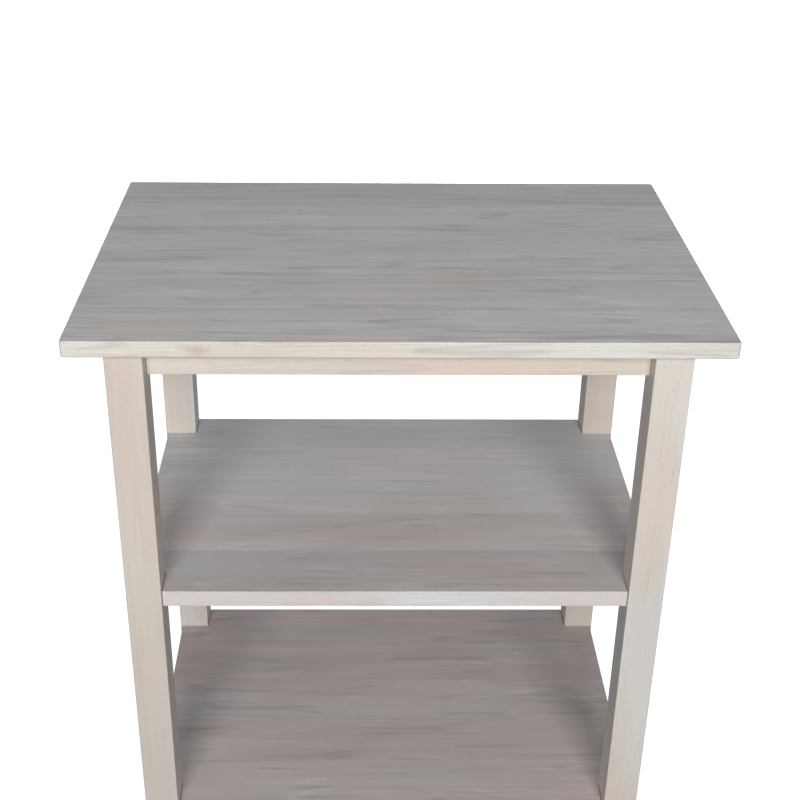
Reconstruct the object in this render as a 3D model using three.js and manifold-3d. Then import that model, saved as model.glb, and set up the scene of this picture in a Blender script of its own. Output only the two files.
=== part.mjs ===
// Butcher block work table: an edge-glued top and two edge-glued, corner-notched shelves on four square
// legs. The legs are bolted to glued corner blocks inside a low apron frame, and each shelf corner hangs
// on a bolt that stands out of its leg's inner edge.
// Millimetres, +Z up, front towards -Y. The origin is on the floor under the centre of the top.

import * as THREE from 'three';
import { mergeVertices } from 'three/addons/utils/BufferGeometryUtils.js';
import Module from 'manifold-3d';

// ---------------------------------------------------------------- driving dimensions

const FIT_GAP = 0.3; // between a piece and the neighbour it is cut by or rests on
const STAVE_PITCH = 85; // glue lines stand this far apart, counted from the panel's centre line
const OVERCUT = 1; // how far a cutting tool reaches past the face it opens

const TABLE = { width: 762, depth: 508, height: 914.4 };
const TOP = { thickness: 21, staves: 6, cornerRadius: 4 };
const LEG = { side: 45, overhangX: 39.5, overhangY: 37, edgeRadius: 2 };
const APRON = { height: 52, thickness: 19, setback: 20.5 };
const SHELF = { thickness: 23, staves: 5, setback: 3, notchGap: 0.6 };
const SHELVES = [
  { name: 'middle_shelf', drop: 376.9 }, // upper face below the worktop
  { name: 'lower_shelf', drop: 750.6 },
];

const BLOCK = { near: 40, far: 80, height: 40 }; // reach along each apron from the leg's axis
const BOLT = { radius: 3, tip: 6, endChamfer: 1, holeRadius: 3.5 };
const NUT = { acrossFlats: 10, height: 6, flangeRadius: 7, flangeHeight: 1.4 };
const LEG_BOLT = { drop: 24, bite: 26, tail: 9 }; // drop is below the underside of the top
const SHELF_BOLT = { rise: 10, bite: 24, wall: 18, tail: 9 }; // rise is above the shelf's underside
const POCKET = { radius: 24, depth: 18 };
const SCREW = {
  along: 50, // place, from the leg's axis
  across: 32,
  radius: 2.2,
  point: 5,
  headRadius: 4.2,
  headHeight: 3,
  headEase: 0.7,
  headClearance: 0.8,
  bite: 15, // into the top
  sink: 7, // of the head, into the block's underside
};
const GLIDE = {
  thickness: 5,
  radius: 12,
  edgeWidth: 2.5, // of the rounding under the rim
  edgeHeight: 2.2,
  pegRadius: 4,
  pegLength: 14,
  pegChamfer: 1,
};

// Segments of a quarter corner, a half-moon pocket, a rod, a screw, a glide and a glide's rounding.
const SEGMENTS = { corner: 3, pocket: 12, rod: 16, screw: 12, glide: 24, glideEdge: 3 };

// ---------------------------------------------------------------- places that follow from them

const topUnderside = TABLE.height - TOP.thickness;
const legX = TABLE.width / 2 - LEG.overhangX - LEG.side / 2;
const legY = TABLE.depth / 2 - LEG.overhangY - LEG.side / 2;
const legBase = GLIDE.thickness + FIT_GAP;
const legHeight = topUnderside - FIT_GAP - legBase;
const legEdge = (LEG.side / 2) * Math.SQRT2; // from a leg's axis to its edge, along the diagonal
const apronFace = APRON.setback + APRON.thickness - LEG.side / 2; // inner face, from the leg's axis
const blockReach = (BLOCK.far + apronFace + FIT_GAP) / Math.SQRT2; // block's far face, on the diagonal
const blockTop = topUnderside - FIT_GAP;
const blockUnderside = blockTop - BLOCK.height;
const legBoltZ = topUnderside - LEG_BOLT.drop;
const pocketFace = legEdge + SHELF.notchGap * Math.SQRT2 + SHELF_BOLT.wall; // on the diagonal

const shelfTopZ = (shelf) => TABLE.height - shelf.drop;
const shelfBoltZ = (shelf) => shelfTopZ(shelf) - SHELF.thickness + SHELF_BOLT.rise;

// One quarter turn per corner: the leg's inner edge always points at the middle of the table.
const CORNERS = [
  { name: 'front_left', x: -legX, y: -legY, turn: 0 },
  { name: 'front_right', x: legX, y: -legY, turn: Math.PI / 2 },
  { name: 'rear_right', x: legX, y: legY, turn: Math.PI },
  { name: 'rear_left', x: -legX, y: legY, turn: -Math.PI / 2 },
];

// ---------------------------------------------------------------- materials

const WOOD_TONES = [0xdcc7b3, 0xd6c0aa, 0xe0ccb9, 0xd9c4ae, 0xdfc9b4, 0xd3bda8];
const LEG_TONE = 0xdcc6b2;
const BLOCK_TONE = 0xcdb498;

const wood = (color) => new THREE.MeshStandardMaterial({ color, roughness: 0.72, metalness: 0 });
const zincSteel = () => new THREE.MeshStandardMaterial({ color: 0xb9bcc0, roughness: 0.35, metalness: 1 });
const nylon = () => new THREE.MeshStandardMaterial({ color: 0xd9d4c8, roughness: 0.5, metalness: 0 });

// ---------------------------------------------------------------- solids

const wasm = await Module();
wasm.setup();

// Makes a manifold solid from a closed geometry.
function toSolid(geometry) {
  const bare = geometry.clone();
  bare.deleteAttribute('normal');
  bare.deleteAttribute('uv');
  const merged = mergeVertices(bare, 1e-4);
  return new wasm.Manifold(
    new wasm.Mesh({
      numProp: 3,
      vertProperties: new Float32Array(merged.attributes.position.array),
      triVerts: new Uint32Array(merged.index.array),
    }),
  );
}

// Makes a flat-shaded geometry from a manifold solid.
function toGeometry(solid) {
  const { vertProperties, triVerts } = solid.getMesh();
  const geometry = new THREE.BufferGeometry();
  geometry.setAttribute('position', new THREE.BufferAttribute(vertProperties, 3));
  geometry.setIndex(new THREE.BufferAttribute(triVerts, 1));
  const flat = geometry.toNonIndexed();
  flat.computeVertexNormals();
  return flat;
}

function cut(body, tools) {
  const solid = tools.reduce((rest, tool) => rest.subtract(toSolid(tool)), toSolid(body));
  return toGeometry(solid);
}

// Extrudes a shape drawn in X and Y upwards from z = 0.
function prism(shape, height) {
  const curveSegments = SEGMENTS.corner;
  return new THREE.ExtrudeGeometry(shape, { depth: height, bevelEnabled: false, curveSegments });
}

// A rectangle centred on the origin, with each corner rounded by its own radius, anticlockwise from -X -Y.
function roundedRectangle(width, depth, radii) {
  const x = width / 2;
  const y = depth / 2;
  const corners = [[-x, -y], [x, -y], [x, y], [-x, y]];
  const shape = new THREE.Shape();
  corners.forEach(([cx, cy], index) => {
    const radius = radii[index];
    const start = Math.PI + (index * Math.PI) / 2;
    if (radius > 0) {
      const inX = cx - Math.sign(cx) * radius;
      const inY = cy - Math.sign(cy) * radius;
      shape.absarc(inX, inY, radius, start, start + Math.PI / 2, false);
    } else if (index === 0) {
      shape.moveTo(cx, cy);
    } else {
      shape.lineTo(cx, cy);
    }
  });
  shape.closePath();
  return shape;
}

// A closed solid of revolution about +Z from [radius, z] pairs that start and end on the axis.
function turned(profile, segments = SEGMENTS.rod) {
  const points = profile.map(([radius, z]) => new THREE.Vector2(radius, z));
  return new THREE.LatheGeometry(points, segments).rotateX(Math.PI / 2);
}

const rod = (radius, from, to) => turned([[0, from], [radius, from], [radius, to], [0, to]]);

// The same rod lying along +X, at height z.
const crossRod = (radius, from, to, z) => rod(radius, from, to).rotateY(Math.PI / 2).translate(0, 0, z);

function piece(name, geometry, material) {
  const mesh = new THREE.Mesh(geometry, material);
  mesh.name = name;
  return mesh;
}

// ---------------------------------------------------------------- glued panels

// The depth span of each stave of a panel, front to back.
function staveSpans(panelDepth, count) {
  const joints = Array.from({ length: count - 1 }, (_, index) => (index + 1 - count / 2) * STAVE_PITCH);
  const edges = [-panelDepth / 2, ...joints, panelDepth / 2];
  return edges.slice(1).map((back, index) => ({ front: edges[index], back }));
}

// A panel's staves, as boards with the panel's outer corners rounded. cutters lists what to cut from each
// stave, in the panel's frame, whose origin is at the centre of the panel's underside.
function panelStaves({ name, width, depth, thickness, staves, cornerRadius, cutters, material }) {
  const panel = new THREE.Group();
  staveSpans(depth, staves).forEach(({ front, back }, index) => {
    const frontRadius = index === 0 ? cornerRadius : 0;
    const backRadius = index === staves - 1 ? cornerRadius : 0;
    const radii = [frontRadius, frontRadius, backRadius, backRadius];
    const middle = (front + back) / 2;
    const board = prism(roundedRectangle(width, back - front, radii), thickness);
    const tools = cutters(front, back).map((tool) => tool.translate(0, -middle, 0));
    const geometry = tools.length > 0 ? cut(board, tools) : board;
    const stave = piece(`${name}_stave_${index + 1}`, geometry, material(index));
    stave.position.y = middle;
    panel.add(stave);
  });
  return panel;
}

// Turns a tool drawn at a corner, with +X pointing at the middle of the table, into the panel's frame.
function atCorner(tool, corner) {
  return tool.rotateZ(corner.turn + Math.PI / 4).translate(corner.x, corner.y, 0);
}

// Where a corner's top screw stands, in the table's frame.
function screwPlace(corner) {
  const place = new THREE.Vector2(SCREW.across, SCREW.along);
  return place.rotateAround(new THREE.Vector2(), corner.turn).add(new THREE.Vector2(corner.x, corner.y));
}

function buildTop() {
  const holeDepth = SCREW.bite + FIT_GAP;
  const cutters = (front, back) => CORNERS.map(screwPlace)
    .filter((place) => place.y > front && place.y < back)
    .map((place) => rod(SCREW.radius + FIT_GAP, -OVERCUT, holeDepth).translate(place.x, place.y, 0));
  const panel = panelStaves({
    name: 'top',
    width: TABLE.width,
    depth: TABLE.depth,
    thickness: TOP.thickness,
    staves: TOP.staves,
    cornerRadius: TOP.cornerRadius,
    cutters,
    material: (index) => wood(WOOD_TONES[index % WOOD_TONES.length]),
  });
  panel.position.z = topUnderside;
  return panel;
}

// The half-moon pocket under a shelf corner: flat towards the leg, where the nut bears.
function nutPocket() {
  const outline = new THREE.Shape();
  outline.absarc(pocketFace, 0, POCKET.radius, -Math.PI / 2, Math.PI / 2, false);
  outline.closePath();
  const depth = POCKET.depth + OVERCUT;
  const curveSegments = SEGMENTS.pocket;
  const pocket = new THREE.ExtrudeGeometry(outline, { depth, bevelEnabled: false, curveSegments });
  return pocket.translate(0, 0, -OVERCUT);
}

// What is cut from a shelf at one corner: the notch round the leg, the bolt's hole and the nut's pocket.
function shelfCornerTools(corner) {
  const notchSide = LEG.side + 2 * SHELF.notchGap;
  const notchHeight = 2 * (SHELF.thickness + OVERCUT);
  const notch = new THREE.BoxGeometry(notchSide, notchSide, notchHeight);
  const holeStart = legEdge - BOLT.holeRadius;
  const hole = crossRod(BOLT.holeRadius, holeStart, pocketFace + OVERCUT, SHELF_BOLT.rise);
  return [notch.translate(corner.x, corner.y, 0), atCorner(hole, corner), atCorner(nutPocket(), corner)];
}

function buildShelf(shelf, shelfIndex) {
  const outerX = legX + LEG.side / 2 - SHELF.setback;
  const outerY = legY + LEG.side / 2 - SHELF.setback;
  const cutters = (front, back) => CORNERS
    .filter((corner) => (front === -outerY && corner.y < 0) || (back === outerY && corner.y > 0))
    .flatMap(shelfCornerTools);
  const panel = panelStaves({
    name: shelf.name,
    width: 2 * outerX,
    depth: 2 * outerY,
    thickness: SHELF.thickness,
    staves: SHELF.staves,
    cornerRadius: 0,
    cutters,
    material: (index) => wood(WOOD_TONES[(index + 2 + shelfIndex) % WOOD_TONES.length]),
  });
  panel.position.z = shelfTopZ(shelf) - SHELF.thickness;
  return panel;
}

// ---------------------------------------------------------------- apron frame

function apronBoard(name, length, alongX) {
  const size = alongX ? [length, APRON.thickness] : [APRON.thickness, length];
  const board = new THREE.BoxGeometry(size[0], size[1], APRON.height);
  const mesh = piece(name, board, wood(WOOD_TONES[alongX ? 1 : 3]));
  mesh.position.z = topUnderside - APRON.height / 2;
  return mesh;
}

function buildAprons() {
  const frame = new THREE.Group();
  const lengthX = 2 * (legX - LEG.side / 2 - FIT_GAP);
  const lengthY = 2 * (legY - LEG.side / 2 - FIT_GAP);
  const middle = apronFace - APRON.thickness / 2; // board's middle, from the leg's axis
  const front = apronBoard('front_apron', lengthX, true);
  const rear = apronBoard('rear_apron', lengthX, true);
  const left = apronBoard('left_apron', lengthY, false);
  const right = apronBoard('right_apron', lengthY, false);
  front.position.y = middle - legY;
  rear.position.y = legY - middle;
  left.position.x = middle - legX;
  right.position.x = legX - middle;
  frame.add(front, rear, left, right);
  return frame;
}

// ---------------------------------------------------------------- what stands at each corner

function buildLeg(corner) {
  const radii = [LEG.edgeRadius, LEG.edgeRadius, LEG.edgeRadius, LEG.edgeRadius];
  const post = prism(roundedRectangle(LEG.side, LEG.side, radii), legHeight).translate(0, 0, legBase);
  const pilot = (bite, z) => {
    const hole = crossRod(BOLT.radius + FIT_GAP, legEdge - bite - FIT_GAP, legEdge + OVERCUT, z);
    return hole.rotateZ(Math.PI / 4);
  };
  const pegHole = rod(GLIDE.pegRadius + FIT_GAP, 0, GLIDE.thickness + GLIDE.pegLength + FIT_GAP);
  const tools = [
    pegHole,
    pilot(LEG_BOLT.bite, legBoltZ),
    ...SHELVES.map((shelf) => pilot(SHELF_BOLT.bite, shelfBoltZ(shelf))),
  ];
  return piece(`${corner.name}_leg`, cut(post, tools), wood(LEG_TONE));
}

// The five-sided block glued into the corner of the apron frame, drilled for the leg's bolt and top screw.
function buildCornerBlock(corner) {
  const inner = apronFace + FIT_GAP;
  const outline = new THREE.Shape();
  outline.moveTo(BLOCK.near, inner);
  outline.lineTo(BLOCK.far, inner);
  outline.lineTo(inner, BLOCK.far);
  outline.lineTo(inner, BLOCK.near);
  outline.closePath();
  const block = prism(outline, BLOCK.height).translate(0, 0, blockUnderside);
  const boltHole = crossRod(BOLT.holeRadius, legEdge, blockReach + OVERCUT, legBoltZ);
  const holeStart = blockUnderside - OVERCUT;
  const screwHole = rod(SCREW.radius + FIT_GAP, holeStart, blockTop + OVERCUT);
  const headSeat = blockUnderside + SCREW.sink + SCREW.headHeight;
  const headHole = rod(SCREW.headRadius + SCREW.headClearance, holeStart, headSeat);
  const tools = [
    boltHole.rotateZ(Math.PI / 4),
    screwHole.translate(SCREW.across, SCREW.along, 0),
    headHole.translate(SCREW.across, SCREW.along, 0),
  ];
  return piece(`${corner.name}_corner_block`, cut(block, tools), wood(BLOCK_TONE));
}

// A hanger bolt along +X: a wood-screw point at one end, a machine thread with an eased end at the other.
function hangerBolt(name, from, to, z) {
  const profile = [
    [0, from],
    [BOLT.radius, from + BOLT.tip],
    [BOLT.radius, to - BOLT.endChamfer],
    [BOLT.radius - BOLT.endChamfer, to],
    [0, to],
  ];
  const bolt = piece(name, turned(profile), zincSteel());
  bolt.rotation.y = Math.PI / 2;
  bolt.position.z = z;
  return bolt;
}

// A hexagon flange nut whose flange bears on a face at x, seen from the leg.
function flangeNut(name, x, z) {
  const cornerReach = NUT.acrossFlats / Math.sqrt(3);
  const corners = Array.from({ length: 6 }, (_, index) => {
    const angle = (index * Math.PI) / 3;
    return new THREE.Vector2(cornerReach * Math.cos(angle), cornerReach * Math.sin(angle));
  });
  const hexagon = new THREE.Shape().setFromPoints(corners);
  const body = toSolid(prism(hexagon, NUT.height));
  const flange = toSolid(rod(NUT.flangeRadius, 0, NUT.flangeHeight));
  const bore = toSolid(rod(BOLT.radius + FIT_GAP, -OVERCUT, NUT.height + OVERCUT));
  const nut = piece(name, toGeometry(body.add(flange).subtract(bore)), zincSteel());
  nut.rotation.y = Math.PI / 2;
  nut.position.set(x + FIT_GAP, 0, z);
  return nut;
}

function buildTopScrew(corner) {
  const headBottom = blockUnderside + SCREW.sink;
  const headTop = headBottom + SCREW.headHeight - FIT_GAP;
  const tip = topUnderside + SCREW.bite;
  const profile = [
    [0, headBottom],
    [SCREW.headRadius - SCREW.headEase, headBottom],
    [SCREW.headRadius, headBottom + SCREW.headEase],
    [SCREW.headRadius, headTop],
    [SCREW.radius, headTop],
    [SCREW.radius, tip - SCREW.point],
    [0, tip],
  ];
  const screw = piece(`${corner.name}_top_screw`, turned(profile, SEGMENTS.screw), zincSteel());
  screw.position.set(SCREW.across, SCREW.along, 0);
  return screw;
}

// A push-in glide: a flat-bottomed disc with a peg that stands in the leg's end grain.
function buildGlide(corner) {
  const flatRadius = GLIDE.radius - GLIDE.edgeWidth;
  const rounding = Array.from({ length: SEGMENTS.glideEdge }, (_, index) => {
    const angle = (((index + 1) / SEGMENTS.glideEdge) * Math.PI) / 2;
    return [flatRadius + GLIDE.edgeWidth * Math.sin(angle), GLIDE.edgeHeight * (1 - Math.cos(angle))];
  });
  const pegEnd = GLIDE.thickness + GLIDE.pegLength;
  const profile = [
    [0, 0],
    [flatRadius, 0],
    ...rounding,
    [GLIDE.radius, GLIDE.thickness],
    [GLIDE.pegRadius, GLIDE.thickness],
    [GLIDE.pegRadius, pegEnd - GLIDE.pegChamfer],
    [GLIDE.pegRadius - GLIDE.pegChamfer, pegEnd],
    [0, pegEnd],
  ];
  return piece(`${corner.name}_glide`, turned(profile, SEGMENTS.glide), nylon());
}

// The bolts and nuts along a corner's diagonal, +X pointing at the middle of the table.
function buildDiagonalFixings(corner) {
  const fixings = new THREE.Group();
  fixings.rotation.z = Math.PI / 4;
  const legBoltEnd = blockReach + LEG_BOLT.tail;
  fixings.add(hangerBolt(`${corner.name}_leg_bolt`, legEdge - LEG_BOLT.bite, legBoltEnd, legBoltZ));
  fixings.add(flangeNut(`${corner.name}_leg_nut`, blockReach, legBoltZ));
  SHELVES.forEach((shelf) => {
    const z = shelfBoltZ(shelf);
    const boltEnd = pocketFace + SHELF_BOLT.tail;
    fixings.add(hangerBolt(`${corner.name}_${shelf.name}_bolt`, legEdge - SHELF_BOLT.bite, boltEnd, z));
    fixings.add(flangeNut(`${corner.name}_${shelf.name}_nut`, pocketFace, z));
  });
  return fixings;
}

// Everything that repeats at a corner, in a group turned so that local +X +Y points inwards.
function buildCorner(corner) {
  const stand = new THREE.Group();
  stand.position.set(corner.x, corner.y, 0);
  stand.rotation.z = corner.turn;
  stand.add(buildLeg(corner), buildCornerBlock(corner), buildTopScrew(corner), buildGlide(corner));
  stand.add(buildDiagonalFixings(corner));
  return stand;
}

// ---------------------------------------------------------------- assembly

const group = new THREE.Group();
group.name = 'butcher_block_table';
group.add(buildTop());
SHELVES.forEach((shelf, index) => group.add(buildShelf(shelf, index)));
group.add(buildAprons());
CORNERS.forEach((corner) => group.add(buildCorner(corner)));

export default group;
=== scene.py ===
import math
import random

import bmesh
import bpy
from mathutils import Matrix, Vector


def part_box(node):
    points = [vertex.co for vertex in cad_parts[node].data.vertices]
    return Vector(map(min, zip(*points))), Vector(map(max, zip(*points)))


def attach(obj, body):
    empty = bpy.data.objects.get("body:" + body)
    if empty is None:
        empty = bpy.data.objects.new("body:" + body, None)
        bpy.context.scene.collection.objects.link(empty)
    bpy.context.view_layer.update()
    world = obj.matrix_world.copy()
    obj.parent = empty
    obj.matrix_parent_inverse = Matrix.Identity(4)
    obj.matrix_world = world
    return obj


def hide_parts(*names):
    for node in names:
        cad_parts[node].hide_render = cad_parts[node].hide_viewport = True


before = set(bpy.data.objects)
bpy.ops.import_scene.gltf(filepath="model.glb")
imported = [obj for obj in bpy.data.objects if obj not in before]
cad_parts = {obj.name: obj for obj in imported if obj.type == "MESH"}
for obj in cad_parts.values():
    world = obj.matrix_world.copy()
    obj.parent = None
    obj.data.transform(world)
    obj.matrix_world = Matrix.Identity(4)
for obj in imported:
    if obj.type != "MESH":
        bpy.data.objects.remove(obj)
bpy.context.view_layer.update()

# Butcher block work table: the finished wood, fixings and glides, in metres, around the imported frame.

MM = 0.001
BODY = "root"
UP = Vector((0, 0, 1))
CORNERS = {"front_left": (-1, -1), "front_right": (1, -1), "rear_right": (1, 1), "rear_left": (-1, 1)}
SHELVES = ("middle_shelf", "lower_shelf")
TOP_STAVES = [f"top_stave_{index}" for index in range(1, 7)]
SHELF_STAVES = {shelf: [f"{shelf}_stave_{index}" for index in range(1, 6)] for shelf in SHELVES}

TOP_CORNER = 4 * MM
TOP_EASE_ABOVE = 1.0 * MM
TOP_EASE_BELOW = 3.0 * MM
SHELF_EASE = 1.0 * MM
LEG_EASE = 1.6 * MM
BOARD_EASE = 1.0 * MM
GLUE_BEVEL = 0.12 * MM
NOTCH_GAP = 0.6 * MM

# Holes and pockets, by radius, and the play left round what goes into them.
PLAY = 0.3 * MM
BOLT_CLEARANCE_HOLE = 3.5 * MM
BOLT_PILOT_HOLE = 3.3 * MM
GLIDE_HOLE = 4.3 * MM
SCREW_PILOT_HOLE = 2.4 * MM
SCREW_CLEARANCE_HOLE = 2.5 * MM
SCREW_HEAD_HOLE = 5.0 * MM
NUT_POCKET = 24 * MM
NUT_POCKET_ROOF = 8 * MM


# ---------------------------------------------------------------- reading the frame

def joint_box(nodes):
    """Lowest and highest corner of several CAD nodes together."""
    boxes = [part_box(node) for node in nodes]
    low = Vector(min(box[0][axis] for box in boxes) for axis in range(3))
    high = Vector(max(box[1][axis] for box in boxes) for axis in range(3))
    return low, high


def span(node, direction):
    """How far a CAD node reaches along a direction, as (low, high)."""
    reach = [vertex.co.dot(direction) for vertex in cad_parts[node].data.vertices]
    return min(reach), max(reach)


def inward(corner):
    """Unit vector from a corner's leg towards the middle of the table."""
    side_x, side_y = CORNERS[corner]
    return Vector((-side_x, -side_y, 0)).normalized()


def foot(node):
    """The middle of the underside of a CAD node's box."""
    low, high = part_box(node)
    return Vector(((low.x + high.x) / 2, (low.y + high.y) / 2, low.z))


def mid_height(node):
    low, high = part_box(node)
    return (low.z + high.z) / 2


def leg_axis(corner):
    middle = foot(f"{corner}_leg")
    return Vector((middle.x, middle.y, 0))


def fixing_origin(corner, node):
    """Where the level axis of a bolt or nut starts, on the side towards its leg."""
    forward = inward(corner)
    axis = leg_axis(corner)
    return axis + forward * (span(node, forward)[0] - axis.dot(forward)) + UP * mid_height(node)


# ---------------------------------------------------------------- mesh tools

def rounded_outline(low, high, radius, steps=6):
    """A rectangle's (x, y) points, anticlockwise, with round corners."""
    middles = [
        (low[0] + radius, low[1] + radius),
        (high[0] - radius, low[1] + radius),
        (high[0] - radius, high[1] - radius),
        (low[0] + radius, high[1] - radius),
    ]
    points = []
    for quarter, (x, y) in enumerate(middles):
        for step in range(steps + 1):
            angle = math.pi + (quarter + step / steps) * math.pi / 2
            points.append((x + radius * math.cos(angle), y + radius * math.sin(angle)))
    return points


def prism(outline, low, high):
    """A closed upright prism over an outline of (x, y) points."""
    bm = bmesh.new()
    bottom = [bm.verts.new((x, y, low)) for x, y in outline]
    top = [bm.verts.new((x, y, high)) for x, y in outline]
    bm.faces.new(bottom)
    bm.faces.new(top)
    for index, vertex in enumerate(bottom):
        after = (index + 1) % len(bottom)
        bm.faces.new((vertex, bottom[after], top[after], top[index]))
    bmesh.ops.recalc_face_normals(bm, faces=bm.faces[:])
    return bm


def bevel(bm, edges, radius, segments):
    bmesh.ops.bevel(
        bm, geom=edges, offset=radius, offset_type="OFFSET", segments=segments, profile=0.5,
        affect="EDGES", clamp_overlap=True,
    )


def level_edges(bm, height):
    """The edges that lie flat at one height."""
    return [e for e in bm.edges if all(abs(v.co.z - height) < 1e-6 for v in e.verts)]


def upright_edges(bm):
    return [e for e in bm.edges if abs((e.verts[0].co - e.verts[1].co).normalized().z) > 0.999]


def slice_between(bm, front, back):
    """The part of a panel between two depths, closed, with a hairline bevel round each cut face."""
    part = bm.copy()
    for depth, facing in ((front, -1), (back, 1)):
        if depth is None:
            continue
        geometry = part.verts[:] + part.edges[:] + part.faces[:]
        cut = bmesh.ops.bisect_plane(
            part, geom=geometry, dist=1e-7, plane_co=(0, depth, 0), plane_no=(0, facing, 0), clear_outer=True,
        )
        rim = [item for item in cut["geom_cut"] if isinstance(item, bmesh.types.BMEdge)]
        filled = bmesh.ops.holes_fill(part, edges=rim, sides=0)["faces"]
        bevel(part, [edge for face in filled for edge in face.edges], GLUE_BEVEL, 1)
    bmesh.ops.recalc_face_normals(part, faces=part.faces[:])
    return part


def revolved(profile, steps):
    """A closed surface of revolution about Z from (radius, height) pairs that start and end on the axis."""
    bm = bmesh.new()
    rings = []
    for radius, height in profile:
        if radius == 0:
            rings.append([bm.verts.new((0, 0, height))])
            continue
        turns = [2 * math.pi * step / steps for step in range(steps)]
        rings.append([bm.verts.new((radius * math.cos(t), radius * math.sin(t), height)) for t in turns])
    for below, above in zip(rings, rings[1:]):
        for step in range(steps):
            after = (step + 1) % steps
            if len(below) == 1:
                bm.faces.new((below[0], above[after], above[step]))
            elif len(above) == 1:
                bm.faces.new((below[step], below[after], above[0]))
            else:
                bm.faces.new((below[step], below[after], above[after], above[step]))
    bmesh.ops.recalc_face_normals(bm, faces=bm.faces[:])
    return bm


def swept_shaft(length, step, around, radius_at):
    """A closed shaft along Z from 0 to length. Its radius depends on height and on the turn, from 0 to 1."""
    bm = bmesh.new()
    count = max(2, round(length / step))
    rings = []
    for row in range(count + 1):
        height = length * row / count
        ring = []
        for column in range(around):
            turn = column / around
            radius = radius_at(height, turn)
            angle = 2 * math.pi * turn
            ring.append(bm.verts.new((radius * math.cos(angle), radius * math.sin(angle), height)))
        rings.append(ring)
    for below, above in zip(rings, rings[1:]):
        for column in range(around):
            after = (column + 1) % around
            bm.faces.new((below[column], below[after], above[after], above[column]))
    bm.faces.new(list(reversed(rings[0])))
    bm.faces.new(rings[-1])
    return bm


def to_object(bm, name):
    mesh = bpy.data.meshes.new(name)
    bm.to_mesh(mesh)
    bm.free()
    obj = bpy.data.objects.new(name, mesh)
    bpy.context.scene.collection.objects.link(obj)
    return obj


def combine(obj, tools, operation):
    """Cuts the tools from obj, joins them to it, or keeps what they share, and removes the tools."""
    for tool in tools:
        modifier = obj.modifiers.new("combine", "BOOLEAN")
        modifier.operation = operation
        modifier.solver = "MANIFOLD"
        modifier.object = tool
    depsgraph = bpy.context.evaluated_depsgraph_get()
    mesh = bpy.data.meshes.new_from_object(obj.evaluated_get(depsgraph))
    obj.modifiers.clear()
    obj.data = mesh
    for tool in tools:
        bpy.data.objects.remove(tool)
    return obj


def lay_along(obj, origin, direction):
    """Turns a mesh drawn along +Z from the origin so that it starts at origin and runs along direction."""
    turn = direction.to_track_quat("Z", "Y").to_matrix().to_4x4()
    obj.data.transform(Matrix.Translation(origin) @ turn)
    return obj


def copy_of(obj, name):
    twin = bpy.data.objects.new(name, obj.data.copy())
    bpy.context.scene.collection.objects.link(twin)
    return twin


def rod_tool(radius, length, origin, direction, steps=24):
    profile = [(0, 0), (radius, 0), (radius, length), (0, length)]
    return lay_along(to_object(revolved(profile, steps), "tool"), origin, direction)


def mark_worn_edges(mesh):
    """Writes 1 on the vertices that lie only on eased edges and 0 elsewhere, for the wood's edge tone."""
    flat_vertices = set()
    for polygon in mesh.polygons:
        if max(abs(component) for component in polygon.normal) > 0.9999:
            flat_vertices.update(polygon.vertices)
    worn = mesh.attributes.new("worn_edge", "FLOAT", "POINT")
    for vertex in mesh.vertices:
        worn.data[vertex.index].value = 0.0 if vertex.index in flat_vertices else 1.0


def merge_points(mesh):
    """Joins the points that bevels and cuts leave on top of each other, and so drops faces with no area."""
    bm = bmesh.new()
    bm.from_mesh(mesh)
    bmesh.ops.remove_doubles(bm, verts=bm.verts[:], dist=1e-6)
    bm.to_mesh(mesh)
    bm.free()


def finish_piece(obj, name, node, material, smooth_angle=32):
    """Shades a piece, gives it its material, hangs it on the table's body and hides its CAD node."""
    merge_points(obj.data)
    obj.name = name
    obj.data.name = name
    obj.data.materials.clear()
    obj.data.materials.append(material)
    for polygon in obj.data.polygons:
        polygon.use_smooth = True
        polygon.material_index = 0
    obj.data.set_sharp_from_angle(angle=math.radians(smooth_angle))
    weighted = obj.modifiers.new("face_weighted_normals", "WEIGHTED_NORMAL")
    weighted.keep_sharp = True
    weighted.weight = 100
    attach(obj, BODY)
    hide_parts(node)


# ---------------------------------------------------------------- shader tools

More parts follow.
